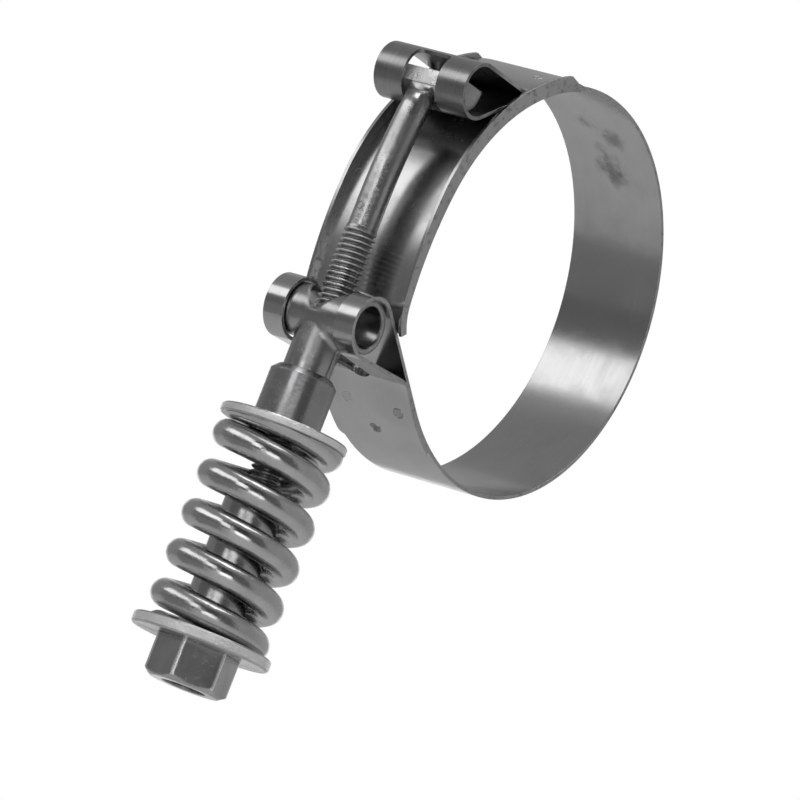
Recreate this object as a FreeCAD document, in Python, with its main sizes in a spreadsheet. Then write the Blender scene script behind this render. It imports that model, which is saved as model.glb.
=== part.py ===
"""Spring-loaded T-bolt hose clamp.

The band is a ring about the Y axis with its centre at the origin. The bolt stands
parallel to Z on the -X side, with its T-shaped head in the upper loop of the band
and the hexagon of its sleeve nut at the lower end. Millimetres throughout.
"""
import FreeCAD, Part
import math
import os
import Sketcher

from FreeCAD import Placement, Rotation, Vector

doc = FreeCAD.newDocument("t_bolt_clamp")

# Driving dimensions: alias, value, meaning
DIMENSIONS = [
    ("clamp_radius", 35.75, "inner radius of the band"),
    ("band_width", 19.05, "width of the steel strip"),
    ("band_gauge", 0.64, "thickness of the steel strip"),
    ("step_angle", 105.2, "where the band starts to step out over the bridge, from +X"),
    ("step_reach_angle", 2.0, "how far round that step reaches"),
    ("step_height", 0.34, "how far the band steps out there"),
    ("tail_end_angle", 110.0, "where each welded tail ends, from +X"),
    ("tail_corner", 1.8, "rounding of the tail's corners"),
    ("tail_slope", 1.3, "slope of the tails' straight stretches"),
    ("tail_bend_radius", 4.0, "bend where a tail meets the ring"),
    ("head_out", 1.45, "upper loop's centre beyond the band's inner radius"),
    ("head_back", "=clamp_radius + head_out", "distance of the upper loop's centre from the Z axis"),
    ("head_rise", 23.85, "height of the upper loop's centre"),
    ("bolt_out", 5.75, "bolt's axis beyond the band's inner radius"),
    ("bolt_back", "=clamp_radius + bolt_out", "distance of the bolt's axis from the Z axis"),
    ("barrel_drop", 20.8, "depth of the lower loop's centre"),
    ("head_slot_width", 7.2, "slot in the upper loop"),
    ("head_slot_top", 122.0, "upper end of that slot, about the loop"),
    ("head_slot_low", 285.0, "lower end of that slot, about the loop"),
    ("barrel_slot_width", 11.0, "slot in the lower loop"),
    ("barrel_slot_top", 35.0, "upper end of that slot, about the loop"),
    ("barrel_slot_tip_radius", 2.6, "rounded end of that slot, in the tail"),
    ("barrel_slot_tip_back", 26.3, "where that slot ends, from the Z axis"),
    ("slot_corner", 1.2, "rounding of the slots' corners"),
    ("bridge_gauge", 0.6, "thickness of the bridge"),
    ("bridge_side_gap", 0.4, "between the band's edge and the bridge's side"),
    ("bridge_side_rise", 2.75, "height of the bridge's sides"),
    ("bridge_upper_angle", 107.6, "upper end of the bridge, from +X"),
    ("bridge_turn_angle", 170.0, "where the bridge leaves the band's circle"),
    ("bridge_free_radius", 64.0, "inner radius of the bridge's lower stretch"),
    ("bridge_free_length", 20.4, "length of the bridge's lower stretch"),
    ("bridge_free_rise", 1.75, "height of the sides at that stretch's lower end"),
    ("bridge_lip_radius", 9.0, "inner radius of the lip at the bridge's lower end"),
    ("bridge_lip_length", 5.0, "length of that lip"),
    ("bridge_lip_rise", 1.4, "height of the sides at the lip's end"),
    ("bridge_corner_length", 4.0, "trimmed upper corners of the bridge's sides, lengthways"),
    ("bridge_corner_depth", 2.1, "trimmed upper corners of the bridge's sides, in height"),
    ("bridge_fit", 0.03, "between the bridge and the band"),
    ("thread_diameter", 5.86, "outside of the M6 thread"),
    ("thread_top", 4.7, "depth at which the thread starts"),
    ("bolt_end", 86.4, "depth of the bolt's end"),
    ("bolt_chamfer", 0.8, "chamfer of the bolt's end"),
    ("shank_diameter", 5.15, "plain shank above the thread"),
    ("shank_bend_radius", 106.0, "bend of the plain shank"),
    ("head_radius", 3.95, "rounded side of the T head"),
    ("head_length", 14.0, "length of the T head"),
    ("head_flat_rise", 0.9, "flat back of the head above its centre"),
    ("head_front", 3.6, "flat front of the head from its centre"),
    ("head_facet_turn", 32.0, "width of the facet under that flat, in degrees about the head"),
    ("shoulder_rise", 21.0, "height of the shank's shoulder under the head's flat front"),
    ("shoulder_drop", 1.0, "fall of that shoulder to the shank's front"),
    ("head_gap", 0.35, "between the head and its loop"),
    ("barrel_diameter", 9.2, "cross tube of the trunnion"),
    ("barrel_bore", 7.4, "bore of the cross tube"),
    ("barrel_length", 17.4, "length of the cross tube"),
    ("window_length", 9.2, "bolt's way into the cross tube, fore and aft"),
    ("window_width", 7.7, "bolt's way into the cross tube, across"),
    ("leg_diameter", 8.4, "leg of the trunnion"),
    ("leg_fillet", 1.1, "hollow bend where the leg leaves the cross tube"),
    ("leg_bore", 6.4, "bolt's way through the leg"),
    ("leg_seam", 0.35, "open seam down each side of the leg"),
    ("loop_gap", 0.3, "between the cross tube and its loop"),
    ("collar_diameter", 11.75, "collar round the leg"),
    ("collar_top", 31.0, "depth of the collar's upper edge"),
    ("collar_edge", 1.1, "chamfer of the collar's upper edge"),
    ("washer_gauge", 1.6, "thickness of the upper washer"),
    ("lower_washer_gauge", 2.0, "thickness of the lower washer"),
    ("washer_edge", 0.3, "chamfer of both washers' edges"),
    ("upper_washer_top", 40.5, "depth of the upper washer's top"),
    ("upper_washer_diameter", 22.4, "upper washer"),
    ("upper_washer_bore", 6.6, "hole of the upper washer"),
    ("lower_washer_diameter", 24.5, "lower washer"),
    ("sleeve_gap", 0.2, "between the nut's sleeve and the lower washer"),
    ("spring_length", 36.3, "spring between the washers"),
    ("wire_diameter", 4.9, "wire of the spring"),
    ("spring_diameter", 22.2, "outside of the spring"),
    ("end_pitch", 4.95, "pitch of the spring's closed end turns"),
    ("low_tip_over", 0.7, "wire's centre beyond the ground face at the lower tip"),
    ("top_tip_over", 1.6, "wire's centre beyond the ground face at the upper tip"),
    ("open_turns", 4.25, "open turns of the spring"),
    ("closed_turns_low", 0.7, "closed turns at the spring's lower end"),
    ("closed_turns_top", 0.95, "closed turns at the spring's upper end"),
    ("tip_angle", 139.8, "where the wire's upper tip lies, from +X"),
    ("sleeve_diameter", 10.3, "sleeve of the nut, inside the spring"),
    ("sleeve_bore", 6.3, "bore of the sleeve"),
    ("spring_travel", 9.7, "way from the sleeve's end to the upper washer"),
    ("nut_flats", 12.8, "hexagon across its flats"),
    ("nut_height", 7.2, "height of the hexagon"),
    ("nut_rest_turn", 14.8, "turn of the hexagon at rest, its corners from +X"),
    ("nut_recess_diameter", 7.8, "recess in the nut's outer face"),
    ("nut_recess_depth", 1.5, "depth of that recess"),
    ("nut_corner", 0.9, "height of the hexagon's chamfered corners"),
    ("nut_corner_reach", 1.3, "depth of those chamfers at the corners"),
    ("seat_gap", 0.02, "running gap between faces that turn on each other"),
    ("cut_over", 1.0, "how far a cut runs past the faces it opens"),
]

sheet = doc.addObject("Spreadsheet::Sheet", "sizes")
for row, (alias, value, meaning) in enumerate(DIMENSIONS, start=1):
    sheet.set(f"A{row}", meaning)
    sheet.set(f"B{row}", str(value))
    sheet.setAlias(f"B{row}", alias)
doc.recompute()


def size(alias):
    """A driving dimension, read from the sheet."""
    return float(getattr(sheet, alias))


def bind(obj, **expressions):
    """Bind properties to the sheet; a double underscore stands for a dot."""
    for name, expression in expressions.items():
        obj.setExpression(name.replace("__", "."), expression)


# Part primitives and booleans

ALONG_Y = Rotation(Vector(1, 0, 0), -90)


def cylinder(name, diameter, length, z_low, x="0", along_y=False):
    """A round bar on Z from z_low, or along Y and centred at the height z_low."""
    obj = doc.addObject("Part::Cylinder", name)
    bind(obj, Radius=f"({diameter}) / 2", Height=length)
    if along_y:
        obj.Placement = Placement(Vector(), ALONG_Y)
        bind(obj, Placement__Base__y=f"-({length}) / 2")
    bind(obj, Placement__Base__x=x, Placement__Base__z=z_low)
    return obj


def box(name, length, width, height, x_low, z_low):
    """A block centred on Y."""
    obj = doc.addObject("Part::Box", name)
    bind(obj, Length=length, Width=width, Height=height)
    bind(obj, Placement__Base__x=x_low, Placement__Base__y=f"-({width}) / 2",
         Placement__Base__z=z_low)
    return obj


def fused(name, *shapes):
    obj = doc.addObject("Part::MultiFuse", name)
    obj.Shapes = list(shapes)
    return obj


def cut(name, base, tool):
    obj = doc.addObject("Part::Cut", name)
    obj.Base = base
    obj.Tool = tool
    return obj


# PartDesign helpers

def new_body(label):
    body = doc.addObject("PartDesign::Body", label)
    body.Label = label
    bind(body, Placement__Base__x="-sizes.bolt_back")
    return body


def polygon(body, role, name, corners):
    """A closed sketch on an origin plane, each corner bound to two expressions."""
    sketch = body.newObject("Sketcher::SketchObject", name)
    plane = [f for f in body.Origin.OriginFeatures if f.Role == role][0]
    sketch.AttachmentSupport = [(plane, "")]
    sketch.MapMode = "FlatFace"
    places = [tuple(float(sheet.evalExpression(e)) for e in corner) for corner in corners]
    count = len(corners)
    for i, (u, v) in enumerate(places):
        nxt = places[(i + 1) % count]
        sketch.addGeometry(Part.LineSegment(Vector(u, v, 0), Vector(nxt[0], nxt[1], 0)), False)
    for i in range(count):
        sketch.addConstraint(Sketcher.Constraint("Coincident", i, 2, (i + 1) % count, 1))
    for i, (u_name, v_name) in enumerate(corners):
        for kind, expression, value in (("DistanceX", u_name, places[i][0]),
                                        ("DistanceY", v_name, places[i][1])):
            row = sketch.addConstraint(Sketcher.Constraint(kind, -1, 1, i, 1, value))
            sketch.setExpression(f"Constraints[{row}]", expression)
    return sketch


def turned(body, name, corners, groove=False):
    """A profile of radius and height, turned about the body's Z axis."""
    sketch = polygon(body, "XZ_Plane", name + "_profile", corners)
    kind = "PartDesign::Groove" if groove else "PartDesign::Revolution"
    feature = body.newObject(kind, name)
    feature.Profile = sketch
    feature.ReferenceAxis = (sketch, ["V_Axis"])
    feature.Angle = 360
    return feature


def ring_profile(inner, outer, top, height, edge_top=None, edge_low=None):
    """Corners of a turned ring, its outer edges chamfered where an edge is given."""
    low = f"({top}) - ({height})"
    corners = [(inner, low)]
    if edge_low:
        corners += [(f"{outer} - ({edge_low})", low), (outer, f"{low} + ({edge_low})")]
    else:
        corners += [(outer, low)]
    if edge_top:
        corners += [(outer, f"{top} - ({edge_top})"), (f"{outer} - ({edge_top})", top)]
    else:
        corners += [(outer, top)]
    return corners + [(inner, top)]


# Bent strip: lines and arcs in the XZ plane, as wide as the strip along Y

def polar(centre, radius, degrees):
    """A point of the XZ plane, degrees from +X towards +Z."""
    angle = math.radians(degrees)
    return Vector(centre[0] + radius * math.cos(angle), 0, centre[1] + radius * math.sin(angle))


def extruded(face, width):
    face.translate(Vector(0, -width / 2, 0))
    return face.extrude(Vector(0, width, 0))


def strip_arc(centre, inner, outer, start, end, width, outer_end=None):
    """A curved stretch of strip between two radii and two angles; its outside may taper."""
    outer_end = outer_end or outer
    middle = (start + end) / 2
    low = Part.Arc(*(polar(centre, inner, a) for a in (start, middle, end))).toShape()
    high = Part.Arc(polar(centre, outer, start), polar(centre, (outer + outer_end) / 2, middle),
                    polar(centre, outer_end, end)).toShape()
    sides = [Part.LineSegment(polar(centre, inner, a), polar(centre, far, a)).toShape()
             for a, far in ((start, outer), (end, outer_end))]
    return extruded(Part.Face(Part.Wire(Part.__sortEdges__([low, sides[1], high, sides[0]]))), width)


def strip_line(start, end, normal, gauge, width):
    """A straight stretch of strip, thickened along its normal."""
    corners = [start, end, end + normal * gauge, start + normal * gauge, start]
    return extruded(Part.Face(Part.makePolygon(corners)), width)


def formed_loop(centre, loop_radius, ring_radius, gauge, width, slope, bend, tail_end, corner):
    """The upper loop of a band with its tail, for a loop centre above the X axis.

    Returns the solids and the ring's angle at which the run leaves the ring.
    """
    away = math.hypot(*centre)
    towards = math.degrees(math.atan2(centre[1], centre[0]))
    leave = towards - math.degrees(math.acos((ring_radius + gauge + loop_radius) / away))
    run_normal = polar((0, 0), 1, leave)
    run = strip_line(polar((0, 0), ring_radius, leave),
                     polar(centre, loop_radius + gauge, leave - 180), run_normal, gauge, width)
    lift = 90 - slope
    loop = strip_arc(centre, loop_radius, loop_radius + gauge, leave - 180, lift - 360, width)
    normal = polar((0, 0), 1, lift)
    along = polar((0, 0), 1, lift - 90)
    tail_top = polar(centre, loop_radius, lift)
    bend_height = tail_top.dot(normal) + bend + gauge
    bend_away = ring_radius + gauge + bend + gauge
    bend_centre = normal * bend_height - along * math.sqrt(bend_away ** 2 - bend_height ** 2)
    tail_foot = bend_centre - normal * (bend + gauge)
    tail = strip_line(tail_top, tail_foot, normal, gauge, width)
    touch = math.degrees(math.atan2(bend_centre.z, bend_centre.x))
    elbow = strip_arc((bend_centre.x, bend_centre.z), bend, bend + gauge, lift - 180, touch - 180, width)
    lap = strip_arc((0, 0), ring_radius + gauge, ring_radius + 2 * gauge, touch, tail_end, width)
    tip = polar((0, 0), ring_radius + 1.5 * gauge, tail_end)
    tip_edges = [e for e in lap.Edges
                 if e.Length < 1.01 * gauge and abs(e.CenterOfMass.x - tip.x) < gauge
                 and abs(e.CenterOfMass.z - tip.z) < gauge]
    lap = lap.makeFillet(corner, tip_edges)
    return [run, loop, tail, elbow, lap], leave


def mirrored(shapes):
    return [s.mirror(Vector(), Vector(0, 0, 1)) for s in shapes]


def rounded(cutter, radius, thin):
    """Round those edges of a slot's cutter that run through the strip."""
    edges = [e for e in cutter.Edges if e.Curve.TypeId == "Part::GeomLine" and abs(e.Length - thin) < 1e-6]
    return cutter.makeFillet(radius, edges)


def make_band():
    """One strip: the ring, a loop for the head, a loop for the trunnion, two welded tails.

    The ring steps out over the bridge's upper end, as the strip does on a round hose.
    """
    gauge = size("band_gauge")
    width = size("band_width")
    radius = size("clamp_radius")
    head = (-size("head_back"), size("head_rise"))
    barrel = (-size("bolt_back"), size("barrel_drop"))
    head_loop = size("head_radius") + size("head_gap")
    barrel_loop = size("barrel_diameter") / 2 + size("loop_gap")
    stepped = radius + size("step_height")
    step = size("step_angle")
    step_end = step + size("step_reach_angle")
    common = (gauge, width, size("tail_slope"), size("tail_bend_radius"), size("tail_end_angle"),
              size("tail_corner"))
    upper, upper_leave = formed_loop(head, head_loop, stepped, *common)
    lower, lower_leave = formed_loop(barrel, barrel_loop, radius, *common)
    ring = strip_arc((0, 0), radius, radius + gauge, -lower_leave, step, width)
    joggle = [polar((0, 0), radius, step), polar((0, 0), stepped, step_end),
              polar((0, 0), stepped + gauge, step_end), polar((0, 0), radius + gauge, step)]
    joggle = extruded(Part.Face(Part.makePolygon(joggle + joggle[:1])), width)
    over_bridge = strip_arc((0, 0), stepped, stepped + gauge, step_end, upper_leave, width)
    band = ring.multiFuse([joggle, over_bridge] + upper + mirrored(lower))

    reach = 3 * gauge
    head_slot = strip_arc(head, head_loop - reach, head_loop + reach, size("head_slot_top"),
                          size("head_slot_low"), size("head_slot_width"))
    head_slot = rounded(head_slot, size("slot_corner"), 2 * reach)

    lift = 270 + size("tail_slope")
    barrel_low = (barrel[0], -barrel[1])
    barrel_slot = strip_arc(barrel_low, barrel_loop - gauge, barrel_loop + reach,
                            size("barrel_slot_top"), lift, size("barrel_slot_width"))
    tip_radius = size("barrel_slot_tip_radius")
    tip_x = -size("barrel_slot_tip_back") - tip_radius
    half = size("barrel_slot_width") / 2
    start_x = barrel[0]
    tail_edges = [Part.LineSegment(Vector(start_x, -half, 0), Vector(tip_x, -tip_radius, 0)),
                  Part.Arc(Vector(tip_x, -tip_radius, 0), Vector(tip_x + tip_radius, 0, 0),
                           Vector(tip_x, tip_radius, 0)),
                  Part.LineSegment(Vector(tip_x, tip_radius, 0), Vector(start_x, half, 0)),
                  Part.LineSegment(Vector(start_x, half, 0), Vector(start_x, -half, 0))]
    tail_slot = Part.Face(Part.Wire([e.toShape() for e in tail_edges])).extrude(Vector(0, 0, -reach))
    tail_slot.translate(Vector(-start_x, 0, gauge / 4))
    tail_slot.rotate(Vector(), Vector(0, 1, 0), -size("tail_slope"))
    foot = polar(barrel_low, barrel_loop, lift)
    tail_slot.translate(foot)
    return band.cut([head_slot, barrel_slot, tail_slot]).removeSplitter()


def head_outline():
    """What the T head keeps of its round bar, with flats above, in front and below the front."""
    radius = size("head_radius")
    front = size("head_front")
    low = math.sqrt(radius ** 2 - front ** 2)
    turn = math.degrees(math.asin(low / radius)) + size("head_facet_turn")
    foot = polar((0, 0), radius, 180 + turn)
    flat = size("head_flat_rise")
    corners = [Vector(-front, 0, flat), Vector(-front, 0, -low), foot, Vector(foot.x, 0, -radius),
               Vector(radius, 0, -radius), Vector(radius, 0, flat)]
    block = extruded(Part.Face(Part.makePolygon(corners + corners[:1])), size("head_length"))
    block.translate(Vector(-size("head_back"), 0, size("head_rise")))
    return block


def shoulder_cut():
    """What is taken off the shank in front of the head's flat, down to a sloping shoulder."""
    front = -size("head_back") - size("head_front")
    shoulder = size("shoulder_rise")
    far = front - size("shank_diameter")
    foot = shoulder - size("shoulder_drop")
    corners = [Vector(front, 0, shoulder), Vector(front - size("shoulder_drop"), 0, foot), Vector(far, 0, foot),
               Vector(far, 0, size("head_rise") + size("head_radius")),
               Vector(front, 0, size("head_rise") + size("head_radius"))]
    return extruded(Part.Face(Part.makePolygon(corners + corners[:1])), size("head_length"))


def corner_cut(top, angle, width):
    """A wedge that trims the sides of a channel at its end, whose top corner is given."""
    up = polar((0, 0), 1, angle)
    along = polar((0, 0), size("bridge_corner_length"), angle + 90)
    deep = up * -size("bridge_corner_depth")
    slant = (along - deep) * (size("cut_over") / size("bridge_corner_length"))
    corners = [top + along + slant, top + deep - slant, top - along, top - along + up,
               top + along + slant + up, top + along + slant]
    return extruded(Part.Face(Part.makePolygon(corners)), width)


def make_bridge():
    """A channel that lines the gap, its sides standing up beside the loops.

    It follows the band's circle, then a flatter stretch, then a lip that turns in
    under the lower loop's run. The sides grow lower towards the lip.
    """
    gauge = size("bridge_gauge")
    radius = size("clamp_radius") + size("step_height") - size("bridge_fit") - gauge
    free = size("bridge_free_radius")
    lip = size("bridge_lip_radius")
    upper = size("bridge_upper_angle")
    turn = size("bridge_turn_angle")
    free_end = turn + math.degrees(size("bridge_free_length") / free)
    end = free_end + math.degrees(size("bridge_lip_length") / lip)
    free_centre = polar((0, 0), radius - free, turn)
    free_centre = (free_centre.x, free_centre.z)
    lip_centre = polar(free_centre, free - lip, free_end)
    lip_centre = (lip_centre.x, lip_centre.z)
    inside = size("band_width") + 2 * size("bridge_side_gap")
    outside = inside + 2 * gauge
    rise = size("bridge_side_rise")
    free_rise = size("bridge_free_rise")
    lip_rise = size("bridge_lip_rise")
    over = 2 * rise
    beyond = size("cut_over")
    block = strip_arc((0, 0), radius, radius + rise, upper, turn, outside).multiFuse([
        strip_arc(free_centre, free, free + rise, turn, free_end, outside, free + free_rise),
        strip_arc(lip_centre, lip, lip + free_rise, free_end, end, outside, lip + lip_rise)])
    room = strip_arc((0, 0), radius + gauge, radius + over, upper - beyond, turn, inside).multiFuse([
        strip_arc(free_centre, free + gauge, free + over, turn, free_end, inside),
        strip_arc(lip_centre, lip + gauge, lip + over, free_end, end + beyond, inside)])
    trim = corner_cut(polar((0, 0), radius + rise, upper), upper, outside + beyond)
    return block.cut([room, trim]).removeSplitter()


def arc_from(start, tangent, end):
    """The arc that leaves the start along a tangent and reaches the end."""
    chord = end - start
    lean = tangent + chord * (1 / chord.Length)
    middle = start + lean * (chord.Length / lean.dot(lean))
    return Part.Arc(start, middle, end).toShape()


def twin_arcs(start, start_tangent, end, end_tangent):
    """Two arcs that join two points smoothly along their tangents."""
    chord = end - start
    square = 2 * (1 - start_tangent.dot(end_tangent))
    half = chord.dot(start_tangent + end_tangent)
    reach = (math.sqrt(half ** 2 + square * chord.dot(chord)) - half) / square
    middle = (start + start_tangent * reach + end - end_tangent * reach) * 0.5
    return [arc_from(start, start_tangent, middle), arc_from(end, end_tangent * -1, middle)]


def make_spring():
    """A left-hand coil of round wire with ground ends, its upper tip on the X axis.

    The wire's path is a chain of arcs, three pairs a turn, so that every face of the
    coil is a true torus.
    """
    wire = size("wire_diameter")
    mean = (size("spring_diameter") - wire) / 2
    length = size("spring_length")
    low_over = size("low_tip_over")
    end_pitch = size("end_pitch")
    low = size("closed_turns_low")
    top = size("closed_turns_top")
    open_turns = size("open_turns")
    total = low + open_turns + top
    rise = length + low_over + size("top_tip_over")
    open_pitch = (rise - (low + top) * end_pitch) / open_turns

    def height(turn):
        opened = min(max(turn - low, 0), open_turns)
        return (turn - opened) * end_pitch + opened * open_pitch - low_over

    def knot(turn):
        """A point of the wire's middle line and its tangent there."""
        angle = 2 * math.pi * (total - turn)
        step = 0.05
        pitch = (height(turn + step) - height(turn - step)) / (2 * step)
        tangent = Vector(2 * math.pi * mean * math.sin(angle), -2 * math.pi * mean * math.cos(angle), pitch)
        return Vector(mean * math.cos(angle), mean * math.sin(angle), height(turn)), tangent.normalize()

    count = round(3 * total)
    knots = [knot(total * i / count) for i in range(count + 1)]
    edges = [edge for a, b in zip(knots, knots[1:]) for edge in twin_arcs(*a, *b)]
    section = Part.Wire([Part.makeCircle(wire / 2, *knots[0])])
    coil = Part.Wire(edges).makePipe(Part.Face(section))
    return coil.common(Part.makeCylinder(2 * mean, length))


# The band and the bridge

band = doc.addObject("Part::Feature", "band")
band.Shape = make_band()
bridge = doc.addObject("Part::Feature", "bridge")
bridge.Shape = make_bridge()

# The T-bolt: thread, plain end, bent shank and D-shaped cross head

BOLT_X = "-sizes.bolt_back"
thread = cylinder("thread", "sizes.thread_diameter", "sizes.bolt_end - sizes.bolt_chamfer - sizes.thread_top",
                  "sizes.bolt_chamfer - sizes.bolt_end", BOLT_X)
thread_end = doc.addObject("Part::Cone", "thread_end")
bind(thread_end, Radius1="sizes.thread_diameter / 2 - sizes.bolt_chamfer", Radius2="sizes.thread_diameter / 2",
     Height="sizes.bolt_chamfer", Placement__Base__x=BOLT_X, Placement__Base__z="-sizes.bolt_end")
straight_shank = cylinder("straight_shank", "sizes.shank_diameter", "sizes.thread_top",
                          "-sizes.thread_top", BOLT_X)
bent_shank = doc.addObject("Part::Torus", "bent_shank")
bent_shank.Placement = Placement(Vector(), Rotation(Vector(-1, 0, 0), Vector(0, 0, 1), Vector(0, 1, 0), "XYZ"))
bind(bent_shank, Radius1="sizes.shank_bend_radius", Radius2="sizes.shank_diameter / 2",
     Angle3="asin(sizes.head_rise / sizes.shank_bend_radius)",
     Placement__Base__x="sizes.shank_bend_radius - sizes.bolt_back")
head_bar = cylinder("head_bar", "2 * sizes.head_radius", "sizes.head_length", "sizes.head_rise",
                    "-sizes.head_back", along_y=True)
head_block = doc.addObject("Part::Feature", "head_outline")
head_block.Shape = head_outline()
head = doc.addObject("Part::Common", "head")
head.Base = head_bar
head.Tool = head_block
shoulder = doc.addObject("Part::Feature", "shoulder_cut")
shoulder.Shape = shoulder_cut()
t_bolt = cut("t_bolt", fused("bolt_blank", thread, thread_end, straight_shank, bent_shank, head), shoulder)

# The trunnion: a cross tube and a split leg, folded from one piece

BARREL_Z = "-sizes.barrel_drop"
LEG_LENGTH = "sizes.upper_washer_top - sizes.barrel_drop"
LEG_LOW = "-sizes.upper_washer_top"
barrel = cylinder("barrel", "sizes.barrel_diameter", "sizes.barrel_length", BARREL_Z, BOLT_X, along_y=True)
leg = cylinder("leg", "sizes.leg_diameter", LEG_LENGTH, LEG_LOW, BOLT_X)
leg.Placement.Rotation = Rotation(Vector(0, 0, 1), 60)
barrel_bore = cylinder("barrel_bore_cut", "sizes.barrel_bore", "2 * sizes.barrel_length", BARREL_Z, BOLT_X,
                       along_y=True)
leg_bore = cylinder("leg_bore_cut", "sizes.leg_bore", LEG_LENGTH, LEG_LOW, BOLT_X)
seam = box("seam_cut", "sizes.leg_seam", "2 * sizes.leg_diameter",
           LEG_LENGTH + " - sizes.barrel_diameter / 2", "-sizes.bolt_back - sizes.leg_seam / 2", LEG_LOW)
WINDOW_OFF = "(sizes.window_length - sizes.window_width) / 2"
window = fused("window_cut", *(cylinder(f"window_{side}", "sizes.window_width", "sizes.barrel_diameter", BARREL_Z,
                                        f"-sizes.bolt_back {sign} {WINDOW_OFF}")
                               for side, sign in (("front", "-"), ("back", "+"))),
               box("window_middle", "2 * " + WINDOW_OFF, "sizes.window_width", "sizes.barrel_diameter",
                   "-sizes.bolt_back - " + WINDOW_OFF, BARREL_Z))
blank = fused("trunnion_blank", barrel, leg)
doc.recompute()
root_edges = [i for i, e in enumerate(blank.Shape.Edges, start=1)
              if e.Curve.TypeId == "Part::GeomBSplineCurve"]
bent = doc.addObject("Part::Fillet", "trunnion_bends")
bent.Base = blank
bent.Edges = [(i, size("leg_fillet"), size("leg_fillet")) for i in root_edges]
trunnion = cut("trunnion", bent, fused("trunnion_cuts", barrel_bore, leg_bore, seam, window))

# Collar, washers and sleeve nut, all turned about the bolt

collar = new_body("collar")
turned(collar, "collar_ring", ring_profile(
    "sizes.leg_diameter / 2 + sizes.seat_gap", "sizes.collar_diameter / 2", "-sizes.collar_top",
    "sizes.upper_washer_top - sizes.collar_top", edge_top="sizes.collar_edge"))

upper_washer = new_body("upper_washer")
turned(upper_washer, "upper_ring", ring_profile(
    "sizes.upper_washer_bore / 2", "sizes.upper_washer_diameter / 2", "-sizes.upper_washer_top",
    "sizes.washer_gauge", "sizes.washer_edge", "sizes.washer_edge"))

SPRING_TOP = "-sizes.upper_washer_top - sizes.washer_gauge"
SPRING_LOW = SPRING_TOP + " - sizes.spring_length"
lower_washer = new_body("lower_washer")
turned(lower_washer, "lower_ring", ring_profile(
    "sizes.sleeve_diameter / 2 + sizes.sleeve_gap", "sizes.lower_washer_diameter / 2", SPRING_LOW,
    "sizes.lower_washer_gauge", "sizes.washer_edge", "sizes.washer_edge"))

NUT_TOP = SPRING_LOW + " - sizes.lower_washer_gauge - sizes.seat_gap"
NUT_LOW = NUT_TOP + " - sizes.nut_height"
sleeve_nut = new_body("sleeve_nut")
turned(sleeve_nut, "sleeve", ring_profile(
    "sizes.sleeve_bore / 2", "sizes.sleeve_diameter / 2", SPRING_TOP + " - sizes.spring_travel",
    "sizes.spring_length + sizes.lower_washer_gauge + sizes.seat_gap + sizes.nut_height - sizes.spring_travel",
    "sizes.washer_edge"))
corner = "sizes.nut_flats / sqrt(3)"
hexagon = polygon(sleeve_nut, "XY_Plane", "hexagon_outline", [
    (corner, "0"), (f"{corner} / 2", "sizes.nut_flats / 2"), (f"-{corner} / 2", "sizes.nut_flats / 2"),
    (f"-{corner}", "0"), (f"-{corner} / 2", "-sizes.nut_flats / 2"), (f"{corner} / 2", "-sizes.nut_flats / 2")])
hexagon.AttachmentOffset = Placement(Vector(), Rotation(Vector(0, 0, 1), size("nut_rest_turn")))
bind(hexagon, AttachmentOffset__Base__z=NUT_LOW)
nut_pad = sleeve_nut.newObject("PartDesign::Pad", "hexagon")
nut_pad.Profile = hexagon
bind(nut_pad, Length="sizes.nut_height")
BELOW_NUT = NUT_LOW + " - sizes.cut_over"
turned(sleeve_nut, "nut_bore", [
    ("0", BELOW_NUT), ("sizes.sleeve_bore / 2", BELOW_NUT),
    ("sizes.sleeve_bore / 2", SPRING_TOP), ("0", SPRING_TOP)], groove=True)
turned(sleeve_nut, "nut_recess", [
    ("0", BELOW_NUT), ("sizes.nut_recess_diameter / 2", BELOW_NUT),
    ("sizes.nut_recess_diameter / 2", NUT_LOW + " + sizes.nut_recess_depth"),
    ("0", NUT_LOW + " + sizes.nut_recess_depth")], groove=True)
turned(sleeve_nut, "nut_corners", [
    (f"{corner} - sizes.nut_corner_reach", NUT_LOW), (f"{corner} + sizes.cut_over", NUT_LOW),
    (f"{corner} + sizes.cut_over",
     NUT_LOW + " + sizes.nut_corner * (1 + sizes.cut_over / sizes.nut_corner_reach)")], groove=True)

# The spring, between the washers

spring = doc.addObject("Part::Feature", "spring")
spring.Shape = make_spring()
spring.Placement = Placement(
    Vector(-size("bolt_back"), 0,
           -size("upper_washer_top") - size("washer_gauge") - size("spring_length")),
    Rotation(Vector(0, 0, 1), size("tip_angle")))

doc.recompute()

SUB_PARTS = [band, bridge, t_bolt, trunnion, collar, upper_washer, spring, lower_washer, sleeve_nut]
for obj in doc.Objects:
    for state in ("Invalid", "Error"):
        if state in obj.State:
            raise RuntimeError(f"{obj.Name} is {state}")
os.makedirs("parts", exist_ok=True)
for obj in SUB_PARTS:
    shape = obj.Shape
    if shape.isNull() or not shape.isValid():
        raise RuntimeError(f"{obj.Label} has no valid shape")
    shape.exportStep(f"parts/{obj.Label}.step")
    box_size = shape.BoundBox
    print(f"{obj.Label}: {len(shape.Solids)} solid, {shape.Volume:.1f} mm3,"
          f" X {box_size.XMin:.2f} {box_size.XMax:.2f}, Y {box_size.YMin:.2f} {box_size.YMax:.2f},"
          f" Z {box_size.ZMin:.2f} {box_size.ZMax:.2f}")
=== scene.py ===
"""Looks of the spring-loaded T-bolt hose clamp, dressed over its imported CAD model.

Metres, in the model's own frame: Y is the hose's axis and Z runs along the bolt.
"""

import math

import bmesh
import bpy
from mathutils import Matrix, Vector


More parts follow.
